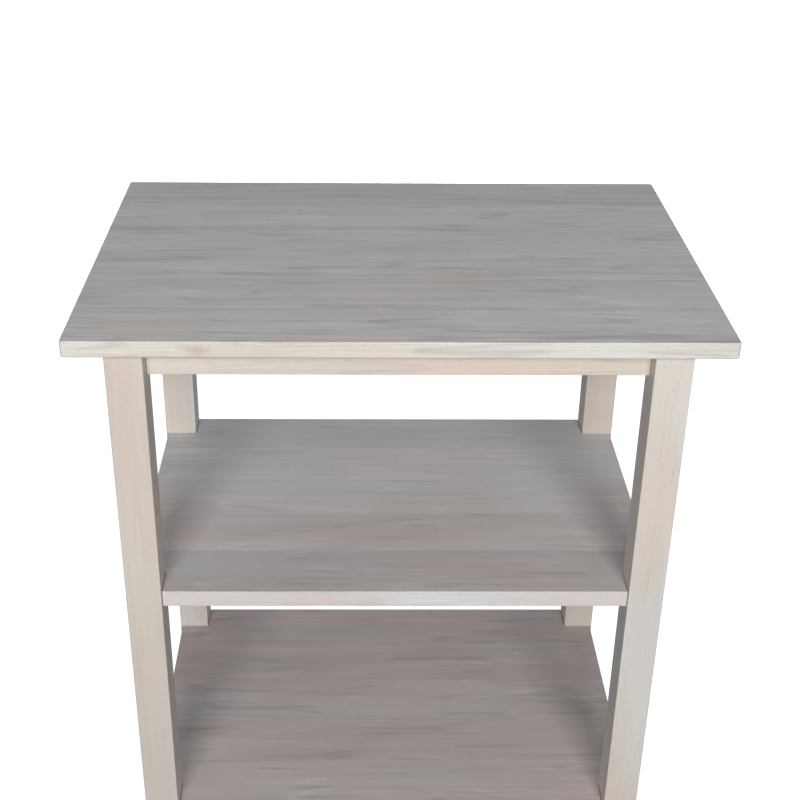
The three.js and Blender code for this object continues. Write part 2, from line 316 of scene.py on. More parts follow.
class Graph:
    """Adds and links the nodes of one material."""

    def __init__(self, tree):
        self.tree = tree

    def node(self, kind, **settings):
        made = self.tree.nodes.new(kind)
        for key, value in settings.items():
            setattr(made, key, value)
        return made

    def feed(self, socket, value):
        if isinstance(value, bpy.types.NodeSocket):
            self.tree.links.new(value, socket)
        elif value is not None:
            socket.default_value = value

    def math(self, operation, first, second=None):
        made = self.node("ShaderNodeMath", operation=operation)
        self.feed(made.inputs[0], first)
        self.feed(made.inputs[1], second)
        return made.outputs[0]

    def plus(self, value, layer, share):
        """The value with a share of a layer added to it."""
        return self.math("ADD", value, self.math("MULTIPLY", layer, share))

    def vector(self, x, y, z):
        made = self.node("ShaderNodeCombineXYZ")
        for socket, value in zip(made.inputs, (x, y, z)):
            self.feed(socket, value)
        return made.outputs[0]

    def stretch(self, value, low, high, to_low=0.0, to_high=1.0):
        made = self.node("ShaderNodeMapRange")
        for socket, entry in zip(made.inputs, (value, low, high, to_low, to_high)):
            self.feed(socket, entry)
        return made.outputs[0]

    def noise(self, vector, detail=2.0, roughness=0.5, scale=1.0):
        made = self.node("ShaderNodeTexNoise")
        self.feed(made.inputs["Vector"], vector)
        made.inputs["Scale"].default_value = scale
        made.inputs["Detail"].default_value = detail
        made.inputs["Roughness"].default_value = roughness
        return made.outputs["Fac"]

    def noise_line(self, value, detail=2.0, roughness=0.5):
        made = self.node("ShaderNodeTexNoise", noise_dimensions="1D")
        self.feed(made.inputs["W"], value)
        made.inputs["Scale"].default_value = 1.0
        made.inputs["Detail"].default_value = detail
        made.inputs["Roughness"].default_value = roughness
        return made.outputs["Fac"]

    def ramp(self, value, stops):
        made = self.node("ShaderNodeValToRGB")
        self.feed(made.inputs[0], value)
        elements = made.color_ramp.elements
        while len(elements) < len(stops):
            elements.new(0.5)
        for element, (place, colour) in zip(elements, stops):
            element.position = place
            element.color = (*colour, 1)
        return made.outputs[0]

    def mix(self, share, first, second):
        made = self.node("ShaderNodeMix", data_type="RGBA")
        self.feed(made.inputs[0], share)
        self.feed(made.inputs[6], first)
        self.feed(made.inputs[7], second)
        return made.outputs[2]

    def scale_colour(self, colour, factor):
        made = self.node("ShaderNodeVectorMath", operation="SCALE")
        self.feed(made.inputs[0], colour)
        self.feed(made.inputs["Scale"], factor)
        return made.outputs[0]

    def bump(self, height, distance, strength):
        made = self.node("ShaderNodeBump")
        made.inputs["Strength"].default_value = strength
        made.inputs["Distance"].default_value = distance
        self.feed(made.inputs["Height"], height)
        return made.outputs[0]


def new_material(name):
    material = bpy.data.materials.new(name)
    material.use_nodes = True
    graph = Graph(material.node_tree)
    shader = material.node_tree.nodes["Principled BSDF"]
    return material, graph, shader


# ---------------------------------------------------------------- wood

# Tones of the raw timber, from whitish through beige to rose.
TIMBER = ((0.662, 0.636, 0.600), (0.665, 0.605, 0.538), (0.675, 0.580, 0.515))
# The shelves' timber is cooler and greyer than the rest: partly the wood's own tone, partly a painted cool
# sheen that stands in for the surroundings reflected in their upper faces.
SHELF_TIMBER_AND_COOL_SHEEN = ((0.648, 0.632, 0.626), (0.665, 0.596, 0.556), (0.675, 0.570, 0.532))
TIMBER_WARMTHS = (0.32, 0.50, 0.68)
PORE_BROWN = (0.36, 0.27, 0.20, 1)
GLUE_BROWN = (0.36, 0.29, 0.23, 1)
KNOT_TAN = (0.55, 0.42, 0.31, 1)

# How each kind of part is figured: contrast of its lines, of its soft clouds and of its hues, how much
# painted light brightens its faces that look to the front and back, and how strong its pores, glue lines,
# roughness and relief are.
TOP_WOOD = {
    "figure": 1.7,
    "clouds": 0.085,
    "hues": 0.10,
    "painted_front_back_light": 0.0,
    "pores": 0.26,
    "glue": 1.0,
    "roughness": 0.52,
    "relief": 0.11 * MM,
    "timber": TIMBER,
}
SHELF_WOOD = {
    **TOP_WOOD,
    "figure": 1.1,
    "clouds": 0.075,
    "hues": 0.15,
    "painted_front_back_light": 0.26,
    "glue": 0.5,
    "timber": SHELF_TIMBER_AND_COOL_SHEEN,
}
LEG_WOOD = {**TOP_WOOD, "figure": 0.45, "clouds": 0.060, "hues": 0.26, "pores": 0.20}
APRON_WOOD = {**TOP_WOOD, "figure": 0.9, "clouds": 0.080, "hues": 0.16}
BLOCK_WOOD = {**TOP_WOOD, "figure": 1.0, "roughness": 0.62, "relief": 0.25 * MM}

# How far each layer of the figure goes from dark to light, where a part's figure contrast is 1.
BAND_DEPTH = 0.060
STREAK_DEPTH = 0.050
FIBRE_DEPTH = 0.030
RING_DEPTH = 0.05
DARK_LINE_DEPTH = 0.110
FINE_LINE_DEPTH = 0.100
PALE_LINE_DEPTH = 0.085

# What doesn't depend on the part: end grain's rings and its darkening, and the paler eased edges.
END_RING_DEPTH = 0.16
END_GRAIN_DEPTH = 0.18
WORN_EDGE_GAIN = 1.03

# Rings to the metre, and how far the pith line wanders slowly and quickly, in metres.
RING_COUNT = 230.0
SLOW_WANDER = 0.030
QUICK_WANDER = 0.0035

# The usual low and high of a noise, and the half-width of a glue line where it is solid and where it ends.
NOISE_LOW, NOISE_HIGH = 0.30, 0.70
GLUE_CORE = 0.3 * MM
GLUE_REACH = 1.4 * MM

# The small knot in the top's front edge: its place along the table, its level as a share of the thickness,
# its half-length and half-height, how far it pushes the rings out, and how much it darkens and tans the wood.
KNOT_PLACE = -0.226
KNOT_LEVEL = 0.42
KNOT_LENGTH = 0.013
KNOT_HEIGHT = 0.008
KNOT_PUSH = 0.014
KNOT_SHADE = 0.10
KNOT_TINT = 0.35

# Each board's grain is drawn from its kind's seed plus its number.
TOP_SEED = 100
SHELF_SEEDS = {"middle_shelf": 200, "lower_shelf": 220}
LEG_SEED = 300
APRON_SEED = 400
BLOCK_SEED = 500

# How light and how warm each stave is, front to back.
TOP_TONES = (1.06, 1.07, 1.10, 1.13, 1.16, 1.11)
TOP_WARMTHS = (0.44, 0.43, 0.39, 0.37, 0.40, 0.43)
# Beside each stave's own tone, the shelves' tones hold painted shade: the lower shelf, in the middle shelf's
# shade, is darker, and so is the middle shelf's front stave.
SHELF_TONES_AND_SHADE = {
    "middle_shelf": (0.82, 0.94, 1.03, 1.055, 0.965),
    "lower_shelf": (0.80, 0.78, 0.76, 0.71, 0.68),
}
# Beside each stave's own warmth, the shelves' warmths hold painted tinted light: the lower shelf is warmer,
# as if lit by warm bounced light, and the middle shelf's rear staves are cooler, as if catching a cool
# reflection.
SHELF_WARMTHS_AND_TINTED_LIGHT = {
    "middle_shelf": (0.48, 0.43, 0.36, 0.30, 0.30),
    "lower_shelf": (0.58, 0.58, 0.60, 0.62, 0.62),
}

# Each leg's tone, its warmth, and how much warmth it gains per metre of height.
LEG_TONES = {
    "front_left": (1.02, 0.60, 0.0),
    "front_right": (1.065, 0.48, -0.10),
    "rear_right": (1.01, 0.60, 0.0),
    "rear_left": (1.09, 0.46, 0.0),
}

# The aprons' tone, warmth and gain of warmth per metre of length, and the corner blocks' tone.
APRON_TONE, APRON_WARMTH, APRON_DRIFT = 1.04, 0.58, 0.25
BLOCK_TONE = 0.90


def grain_coordinates(graph, along, offset):
    """Object coordinates as (length, across, through) sockets of a board whose grain runs along an axis."""
    place = graph.node("ShaderNodeTexCoord").outputs["Object"]
    split = graph.node("ShaderNodeSeparateXYZ")
    graph.feed(split.inputs[0], place)
    axes = {"x": (0, 1, 2), "y": (1, 0, 2), "z": (2, 0, 1)}[along]
    return [graph.math("ADD", split.outputs[axis], shift) for axis, shift in zip(axes, offset)]


def stretched_noise(graph, grain, along, across, detail=2.0, roughness=0.5):
    """Noise drawn out along the grain: so many features per metre along and across it."""
    length, width, depth = grain
    vector = graph.vector(
        graph.math("MULTIPLY", length, along),
        graph.math("MULTIPLY", width, across),
        graph.math("MULTIPLY", depth, across),
    )
    return graph.noise(vector, detail, roughness)


def grain_lines(graph, grain, along, across, width, shown):
    """Thin wavy lines along the grain, 1 on a line: level lines of drawn-out noise, broken into lengths."""
    field = stretched_noise(graph, grain, along, across, 1.0, 0.4)
    away = graph.math("ABSOLUTE", graph.math("SUBTRACT", field, 0.5))
    line = graph.stretch(away, 0.0, width, 1.0, 0.0)
    breaks = stretched_noise(graph, grain, along * 4.0, across * 0.8, 1.0)
    return graph.math("MULTIPLY", line, graph.stretch(breaks, shown, shown + 0.08))


def knot_swell(graph, grain, knot):
    """1 at the middle of a small knot near a board's edge, falling away round it."""
    length, _, depth = grain
    reach = graph.math("DIVIDE", graph.math("SUBTRACT", length, knot[0]), KNOT_LENGTH)
    rise = graph.math("DIVIDE", graph.math("SUBTRACT", depth, knot[1]), KNOT_HEIGHT)
    away = graph.math("ADD", graph.math("POWER", reach, 2.0), graph.math("POWER", rise, 2.0))
    return graph.math("EXPONENT", graph.math("MULTIPLY", away, -1.0))


def ring_distance(graph, grain, pith):
    """Distance from the board's pith line, made to wander as a real stem does."""
    _, width, depth = grain
    across = graph.math("POWER", graph.math("SUBTRACT", width, pith[0]), 2.0)
    through = graph.math("POWER", graph.math("SUBTRACT", depth, pith[1]), 2.0)
    distance = graph.math("SQRT", graph.math("ADD", across, through))
    slow = graph.math("SUBTRACT", stretched_noise(graph, grain, 1.6, 5.0, 1.0), 0.5)
    quick = graph.math("SUBTRACT", stretched_noise(graph, grain, 9.0, 30.0, 2.0), 0.5)
    return graph.plus(graph.plus(distance, slow, SLOW_WANDER), quick, QUICK_WANDER)


def wood_layers(graph, grain, distance):
    """The noises and lines that make up the figure, each as a socket from 0 to 1."""
    turned = [grain[0], grain[2], grain[1]]
    pore_noise = stretched_noise(graph, grain, 95.0, 1900.0, 1.0, 0.4)
    return {
        "rings": graph.noise_line(graph.math("MULTIPLY", distance, RING_COUNT), 1.5, 0.6),
        "bands": stretched_noise(graph, grain, 2.3, 52.0, 2.0, 0.55),
        "patches": stretched_noise(graph, grain, 5.0, 16.0, 1.0, 0.5),
        "streaks": stretched_noise(graph, grain, 12.0, 430.0, 2.0, 0.6),
        "fibres": stretched_noise(graph, grain, 60.0, 2600.0, 1.0, 0.5),
        "pores": graph.stretch(pore_noise, 0.60, 0.72),
        "hues": stretched_noise(graph, grain, 3.2, 12.0, 1.0),
        "dark_lines": grain_lines(graph, grain, 2.4, 40.0, 0.050, 0.50),
        "pale_lines": grain_lines(graph, turned, 3.2, 44.0, 0.030, 0.50),
        "fine_lines": grain_lines(graph, turned, 1.6, 26.0, 0.012, 0.50),
    }


def wood_shade(graph, layers, wood, tone, end):
    """How light the wood is from place to place. end is 1 on end grain."""
    figure = wood["figure"]
    ring_depth = graph.stretch(end, 0.0, 1.0, RING_DEPTH * figure, END_RING_DEPTH)
    rings = graph.stretch(layers["rings"], NOISE_LOW, NOISE_HIGH, -0.5, 0.5)
    shade = graph.plus(tone, rings, ring_depth)
    depths = {
        "bands": BAND_DEPTH * figure,
        "patches": wood["clouds"],
        "streaks": STREAK_DEPTH * figure,
        "fibres": FIBRE_DEPTH * figure,
    }
    for layer, depth in depths.items():
        swing = graph.stretch(layers[layer], NOISE_LOW, NOISE_HIGH, -0.5 * depth, 0.5 * depth)
        shade = graph.math("ADD", shade, swing)
    shade = graph.plus(shade, layers["dark_lines"], -DARK_LINE_DEPTH * figure)
    shade = graph.plus(shade, layers["fine_lines"], -FINE_LINE_DEPTH * figure)
    shade = graph.plus(shade, layers["pale_lines"], PALE_LINE_DEPTH * figure)
    return graph.plus(shade, end, -END_GRAIN_DEPTH)


def wood_relief(graph, layers, depth):
    """The normal of sanded wood: raised streaks and fibres, sunk pores and dark lines."""
    raised = graph.plus(graph.math("MULTIPLY", layers["streaks"], 0.5), layers["fibres"], 0.5)
    sunk = graph.plus(graph.math("MULTIPLY", layers["pores"], 0.7), layers["dark_lines"], 0.25)
    return graph.bump(graph.math("SUBTRACT", raised, sunk), depth, 0.6)


def wood_material(name, along, seed, wood, tone=1.0, warmth=0.5, glue=None, knot=None, drift=0.0):
    """Raw sanded hardwood of one board: its rings, lines, pores, end grain, eased edges and glue lines."""
    draw = random.Random(seed)
    offset = [draw.uniform(-40, 40) for _ in range(3)]
    pith_across = offset[1] + draw.uniform(-0.4, 0.4)
    pith_through = offset[2] + draw.choice((-1, 1)) * draw.uniform(0.05, 0.16)
    material, graph, shader = new_material(name)
    grain = grain_coordinates(graph, along, offset)

    distance = ring_distance(graph, grain, (pith_across, pith_through))
    if knot is not None:
        swell = knot_swell(graph, grain, (knot[0] + offset[0], knot[1] + offset[2]))
        distance = graph.plus(distance, swell, KNOT_PUSH)
    layers = wood_layers(graph, grain, distance)

    # End grain drinks light and shows its rings more.
    normal = graph.node("ShaderNodeSeparateXYZ")
    graph.feed(normal.inputs[0], graph.node("ShaderNodeTexCoord").outputs["Normal"])
    end = graph.math("POWER", graph.math("ABSOLUTE", normal.outputs["xyz".index(along)]), 6.0)
    shade = wood_shade(graph, layers, wood, tone, end)
    # Painted light: faces that look to the front or back, such as a shelf's front edge, are made lighter,
    # standing in for the lamps in front lighting them more.
    if wood["painted_front_back_light"]:
        sides = graph.math("POWER", graph.math("ABSOLUTE", normal.outputs[1]), 4.0)
        shade = graph.plus(shade, sides, wood["painted_front_back_light"])
    if knot is not None:
        shade = graph.plus(shade, swell, -KNOT_SHADE)

    # Slow changes of hue, which the shade then lightens or darkens.
    hue = graph.stretch(layers["hues"], NOISE_LOW, NOISE_HIGH, warmth - wood["hues"], warmth + wood["hues"])
    if drift:
        hue = graph.plus(hue, graph.math("SUBTRACT", grain[0], offset[0]), drift)
    colour = graph.ramp(hue, list(zip(TIMBER_WARMTHS, wood["timber"])))
    colour = graph.scale_colour(colour, shade)
    if knot is not None:
        colour = graph.mix(graph.math("MULTIPLY", swell, KNOT_TINT), colour, KNOT_TAN)
    colour = graph.mix(graph.math("MULTIPLY", layers["pores"], wood["pores"]), colour, PORE_BROWN)

    # Eased edges are a little paler where they were rubbed down.
    edge = graph.node("ShaderNodeAttribute", attribute_name="worn_edge").outputs["Fac"]
    colour = graph.scale_colour(colour, graph.stretch(edge, 0.0, 1.0, 1.0, WORN_EDGE_GAIN))

    if glue is not None:
        near = graph.math("SUBTRACT", grain[1], glue[0] + offset[1])
        far = graph.math("SUBTRACT", glue[1] + offset[1], grain[1])
        line = graph.stretch(graph.math("MINIMUM", near, far), GLUE_CORE, GLUE_REACH, 1.0, 0.0)
        strength = graph.stretch(layers["patches"], 0.40, 0.60, 0.18 * wood["glue"], 0.52 * wood["glue"])
        colour = graph.mix(graph.math("MULTIPLY", line, strength), colour, GLUE_BROWN)

    rough = wood["roughness"]
    roughness = graph.stretch(layers["streaks"], NOISE_LOW, NOISE_HIGH, rough + 0.06, rough - 0.05)
    graph.feed(shader.inputs["Base Color"], colour)
    graph.feed(shader.inputs["Roughness"], roughness)
    graph.feed(shader.inputs["Normal"], wood_relief(graph, layers, wood["relief"]))
    return material


# ---------------------------------------------------------------- other materials

def zinc_material():
    material, graph, shader = new_material("zinc_plated_steel")
    place = graph.node("ShaderNodeTexCoord").outputs["Object"]
    cloud = graph.noise(place, 3.0, 0.6, 260.0)
    fine = graph.noise(place, 2.0, 0.5, 3200.0)
    steel, bright, yellowish = (0.50, 0.51, 0.53), (0.62, 0.63, 0.65), (0.66, 0.65, 0.60)
    colour = graph.ramp(cloud, [(0.35, steel), (0.55, bright), (0.70, yellowish)])
    graph.feed(shader.inputs["Base Color"], colour)
    shader.inputs["Metallic"].default_value = 1.0
    graph.feed(shader.inputs["Roughness"], graph.stretch(cloud, 0.3, 0.7, 0.28, 0.42))
    graph.feed(shader.inputs["Normal"], graph.bump(fine, 0.03 * MM, 0.4))
    return material


def nylon_material():
    material, graph, shader = new_material("natural_nylon")
    place = graph.node("ShaderNodeTexCoord").outputs["Object"]
    cloud = graph.noise(place, 2.0, 0.5, 120.0)
    fine = graph.noise(place, 2.0, 0.5, 2400.0)
    colour = graph.ramp(cloud, [(0.35, (0.60, 0.57, 0.50)), (0.65, (0.68, 0.65, 0.58))])
    graph.feed(shader.inputs["Base Color"], colour)
    graph.feed(shader.inputs["Roughness"], graph.stretch(fine, 0.3, 0.7, 0.42, 0.54))
    graph.feed(shader.inputs["Normal"], graph.bump(fine, 0.05 * MM, 0.4))
    return material


# ---------------------------------------------------------------- glued panels

def stave_pieces(panel, nodes, tools, seed, wood, tones, warmths):
    """Cuts a panel's mesh into its staves and finishes them. tools(index) gives what to cut from a stave."""
    last = len(nodes) - 1
    draw = random.Random(seed)
    for index, node in enumerate(nodes):
        low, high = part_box(node)
        front = None if index == 0 else low.y
        back = None if index == last else high.y
        stave = to_object(slice_between(panel, front, back), node + "_milled")
        cutters = tools(index)
        if cutters:
            combine(stave, cutters, "DIFFERENCE")
        mark_worn_edges(stave.data)
        # A panel's outer edges have no glue line, so there the line is put far away.
        glue = (low.y - (1 if index == 0 else 0), high.y + (1 if index == last else 0))
        knot = (KNOT_PLACE, low.z + KNOT_LEVEL * (high.z - low.z)) if node == "top_stave_1" else None
        warmth = warmths[index] + draw.uniform(-0.06, 0.06)
        material = wood_material(
            f"{node}_wood", "x", seed + index, wood, tone=tones[index], warmth=warmth, glue=glue, knot=knot,
        )
        finish_piece(stave, node + "_milled", node, material)
    panel.free()


def screw_holes(index):
    """The pilot holes that the top screws bite into, for one stave of the top."""
    low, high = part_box(TOP_STAVES[index])
    tools = []
    for corner in CORNERS:
        screw = f"{corner}_top_screw"
        middle = foot(screw)
        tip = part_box(screw)[1].z
        if low.y < middle.y < high.y:
            origin = Vector((middle.x, middle.y, low.z - MM))
            tools.append(rod_tool(SCREW_PILOT_HOLE, tip + PLAY - origin.z, origin, UP, 16))
    return tools


def build_top():
    low, high = joint_box(TOP_STAVES)
    panel = prism(rounded_outline(low, high, TOP_CORNER), low.z, high.z)
    bevel(panel, level_edges(panel, low.z), TOP_EASE_BELOW, 6)
    bevel(panel, level_edges(panel, high.z), TOP_EASE_ABOVE, 4)
    stave_pieces(panel, TOP_STAVES, screw_holes, TOP_SEED, TOP_WOOD, TOP_TONES, TOP_WARMTHS)


def notch_reach():
    """How far from the table's middle, in x and y, the notches round the legs begin."""
    leg_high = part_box("front_left_leg")[1]
    return -leg_high.x - NOTCH_GAP, -leg_high.y - NOTCH_GAP


def notched_outline(high):
    """A shelf's outline, stepping in round each leg, from the shelf's highest corner."""
    inner_x, inner_y = notch_reach()
    quarter = [(inner_x, high.y), (inner_x, inner_y), (high.x, inner_y)]
    points = []
    for side_x, side_y in ((1, 1), (1, -1), (-1, -1), (-1, 1)):
        run = [(side_x * x, side_y * y) for x, y in quarter]
        points += run if side_x * side_y > 0 else run[::-1]
    return points


def split_at_notches(panel):
    """Runs an edge across the panel in line with each side of the notches, so that its faces are plain."""
    inner_x, inner_y = notch_reach()
    cuts = (
        (Vector((inner_x - SHELF_EASE, 0, 0)), (1, 0, 0)),
        (Vector((0, inner_y - SHELF_EASE, 0)), (0, 1, 0)),
    )
    for place, facing in cuts:
        for side in (-1, 1):
            geometry = panel.verts[:] + panel.edges[:] + panel.faces[:]
            bmesh.ops.bisect_plane(panel, geom=geometry, dist=1e-6, plane_co=place * side, plane_no=facing)


def half_moon(corner, face, radius, low, high):
    """The pocket for a shelf nut: flat towards the leg, round towards the middle of the shelf."""
    steps = 24
    forward = inward(corner)
    sideways = Vector((-forward.y, forward.x, 0))
    middle = leg_axis(corner) + forward * face
    outline = []
    for step in range(steps + 1):
        angle = math.pi * (step / steps - 0.5)
        point = middle + forward * (radius * math.cos(angle)) + sideways * (radius * math.sin(angle))
        outline.append((point.x, point.y))
    return to_object(prism(outline, low, high), "tool")


def shelf_corner_tools(shelf, corner):
    """The bolt's hole and the nut's pocket at one corner of a shelf."""
    forward = inward(corner)
    axis = leg_axis(corner)
    nut = f"{corner}_{shelf}_nut"
    face = span(nut, forward)[0] - axis.dot(forward) - PLAY
    height = mid_height(nut)
    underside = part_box(f"{shelf}_stave_1")[0].z
    pocket = half_moon(corner, face, NUT_POCKET, underside - MM, height + NUT_POCKET_ROOF)
    start = axis + forward * (face - NUT_POCKET) + UP * height
    return [pocket, rod_tool(BOLT_CLEARANCE_HOLE, NUT_POCKET + 2 * MM, start, forward)]


def build_shelf(shelf):
    nodes = SHELF_STAVES[shelf]
    low, high = joint_box(nodes)
    panel = prism(notched_outline(high), low.z, high.z)
    notch_corner = sum(notch_reach()) + MM
    outer = [e for e in upright_edges(panel) if abs(e.verts[0].co.x) + abs(e.verts[0].co.y) > notch_corner]
    bevel(panel, outer, SHELF_EASE, 3)
    bevel(panel, level_edges(panel, low.z) + level_edges(panel, high.z), SHELF_EASE, 4)
    split_at_notches(panel)

    def tools(index):
        """The outer staves carry the fixings of the two corners nearest to them."""
        row = {0: "front", len(nodes) - 1: "rear"}.get(index)
        if row is None:
            return []
        return shelf_corner_tools(shelf, f"{row}_left") + shelf_corner_tools(shelf, f"{row}_right")

    tones, warmths = SHELF_TONES_AND_SHADE[shelf], SHELF_WARMTHS_AND_TINTED_LIGHT[shelf]
    stave_pieces(panel, nodes, tools, SHELF_SEEDS[shelf], SHELF_WOOD, tones, warmths)


# ---------------------------------------------------------------- legs, aprons and blocks

def build_leg(corner, index):
    node = f"{corner}_leg"
    low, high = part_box(node)
    post = prism(rounded_outline(low, high, LEG_EASE, 5), low.z, high.z)
    bevel(post, level_edges(post, low.z) + level_edges(post, high.z), 0.6 * MM, 2)
    leg = to_object(post, node)
    axis = leg_axis(corner)
    forward = inward(corner)
    reach = axis.dot(forward)
    edge = (high.x - low.x) / 2 * math.sqrt(2)
    tools = [rod_tool(GLIDE_HOLE, 20 * MM, axis - UP * 0.5 * MM, UP)]
    for fixing in ("leg", *SHELVES):
        bolt = f"{corner}_{fixing}_bolt"
        tip = span(bolt, forward)[0] - reach - PLAY
        origin = axis + forward * tip + UP * mid_height(bolt)
        tools.append(rod_tool(BOLT_PILOT_HOLE, edge - tip + MM, origin, forward))
    combine(leg, tools, "DIFFERENCE")
    mark_worn_edges(leg.data)
    tone, warmth, drift = LEG_TONES[corner]
    material = wood_material(
        f"{node}_wood", "z", LEG_SEED + index, LEG_WOOD, tone=tone, warmth=warmth, drift=drift,
    )
    finish_piece(leg, node + "_planed", node, material)


def build_apron(name, index):
    node = f"{name}_apron"
    low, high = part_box(node)
    board = prism(rounded_outline(low, high, BOARD_EASE, 3), low.z, high.z)
    bevel(board, level_edges(board, low.z) + level_edges(board, high.z), BOARD_EASE, 3)
    apron = to_object(board, node)
    mark_worn_edges(apron.data)
    along = "x" if name in ("front", "rear") else "y"
    material = wood_material(
        f"{node}_wood", along, APRON_SEED + index, APRON_WOOD,
        tone=APRON_TONE, warmth=APRON_WARMTH, drift=APRON_DRIFT,
    )
    finish_piece(apron, node + "_planed", node, material)


def block_outline(corner, low, high):
    """The block's four corners: two on each apron, near the leg and away from it."""
    side_x, side_y = CORNERS[corner]
    apron_x, far_x = (low.x, high.x) if side_x < 0 else (high.x, low.x)
    apron_y, far_y = (low.y, high.y) if side_y < 0 else (high.y, low.y)
    forward = inward(corner)
    start = Vector((apron_x, apron_y, 0)).dot(forward)
    near = (span(f"{corner}_corner_block", forward)[0] - start) * math.sqrt(2)
    return [
        (apron_x - side_x * near, apron_y),
        (far_x, apron_y),
        (apron_x, far_y),
        (apron_x, apron_y - side_y * near),
    ]


def build_corner_block(corner, index):
    node = f"{corner}_corner_block"
    low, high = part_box(node)
    bm = prism(block_outline(corner, low, high), low.z, high.z)
    bevel(bm, bm.edges[:], 0.7 * MM, 2)
    block = to_object(bm, node)
    axis = leg_axis(corner)
    forward = inward(corner)
    screw = foot(f"{corner}_top_screw")
    below = Vector((screw.x, screw.y, low.z - MM))
    tools = [
        rod_tool(BOLT_CLEARANCE_HOLE, 90 * MM, axis + UP * mid_height(f"{corner}_leg_bolt"), forward),
        rod_tool(SCREW_CLEARANCE_HOLE, 60 * MM, below, UP),
        rod_tool(SCREW_HEAD_HOLE, screw.z - low.z + 4 * MM, below, UP, 32),
    ]
    combine(block, tools, "DIFFERENCE")
    mark_worn_edges(block.data)
    along = "x" if index % 2 == 0 else "y"
    material = wood_material(f"{node}_wood", along, BLOCK_SEED + index, BLOCK_WOOD, tone=BLOCK_TONE)
    finish_piece(block, node + "_sawn", node, material)


# ---------------------------------------------------------------- fixings

def thread(height, turn, pitch):
    """0 in a thread's root and 1 on its crest."""
    phase = (height / pitch - turn) % 1.0
    return 1.0 - abs(2.0 * phase - 1.0)


def ease_in(height, start, length):
    return min(1.0, max(0.0, (height - start) / length))


def hanger_bolt(length, bite):
    """A wood-screw thread for the length of its bite, a short plain neck and a machine thread to the end."""
    point = 7 * MM
    wood_core, wood_crest, wood_pitch = 2.1 * MM, 0.85 * MM, 2.6 * MM
    neck, neck_radius = 4 * MM, 2.75 * MM
    machine_core, machine_crest, machine_pitch = 2.40 * MM, 0.55 * MM, 1.0 * MM
    end_taper = 0.5 * MM

    def radius_at(height, turn):
        if height < bite:
            core = wood_core * ease_in(height, -0.4 * MM, point)
            crest = wood_crest * ease_in(height, 0, point) * ease_in(bite - height, 0, 2 * MM)
            return core + crest * thread(height, turn, wood_pitch) ** 1.5
        if height < bite + neck:
            return neck_radius
        run_out = ease_in(length - height, 0, 1.2 * MM)
        run_in = ease_in(height, bite + neck, 1.0 * MM)
        crest = machine_crest * run_in * run_out
        return machine_core - end_taper * (1 - run_out) + crest * thread(height, turn, machine_pitch)

    return to_object(swept_shaft(length, 0.2 * MM, 20, radius_at), "bolt")


def build_bolt(corner, fixing, patterns):
    """patterns keeps one bolt of each length, for the others to copy."""
    node = f"{corner}_{fixing}_bolt"
    forward = inward(corner)
    low, high = span(node, forward)
    axis = leg_axis(corner)
    edge = (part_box(f"{corner}_leg")[1].x - axis.x) * math.sqrt(2)
    key = round(high - low, 5)
    if key not in patterns:
        patterns[key] = hanger_bolt(high - low, edge + axis.dot(forward) - low)
    bolt = lay_along(copy_of(patterns[key], node), fixing_origin(corner, node), forward)
    finish_piece(bolt, node + "_threaded", node, ZINC, 50)


def flange_nut_pattern():
    """A hexagon flange nut along Z, its flange's flat face at 0."""
    across, height = 10 * MM, 6 * MM
    flange, rim, skirt_top = 7 * MM, 1.1 * MM, 2.1 * MM
    bore, mouth, sink = 3.0 * MM, 3.6 * MM, 0.7 * MM
    corner = across / math.sqrt(3)
    angles = [turn * math.pi / 3 for turn in range(6)]
    hexagon = [(corner * math.cos(angle), corner * math.sin(angle)) for angle in angles]
    nut = to_object(prism(hexagon, 0.2 * MM, height), "nut")

    cone = 0.5 * (corner - across / 2) + 0.35 * MM
    outside = corner * 1.1
    envelope = [
        (0, 0),
        (outside, 0),
        (outside, height - cone),
        (across / 2 * 0.93, height),
        (0, height),
    ]
    combine(nut, [to_object(revolved(envelope, 48), "tool")], "INTERSECT")

    skirt = [
        (0, 0),
        (flange - 0.3 * MM, 0),
        (flange, 0.25 * MM),
        (flange, rim - 0.25 * MM),
        (flange - 0.3 * MM, rim),
        (across / 2, skirt_top),
        (0, skirt_top),
    ]
    combine(nut, [to_object(revolved(skirt, 48), "tool")], "UNION")

    hole = [
        (0, -MM),
        (mouth, -MM),
        (mouth, 0.1 * MM),
        (bore, sink),
        (bore, height - sink),
        (mouth, height - 0.1 * MM),
        (mouth, height + MM),
        (0, height + MM),
    ]
    return combine(nut, [to_object(revolved(hole, 32), "tool")], "DIFFERENCE")


def build_nut(corner, fixing, pattern):
    node = f"{corner}_{fixing}_nut"
    nut = lay_along(copy_of(pattern, node), fixing_origin(corner, node), inward(corner))
    finish_piece(nut, node + "_pressed", node, ZINC, 30)


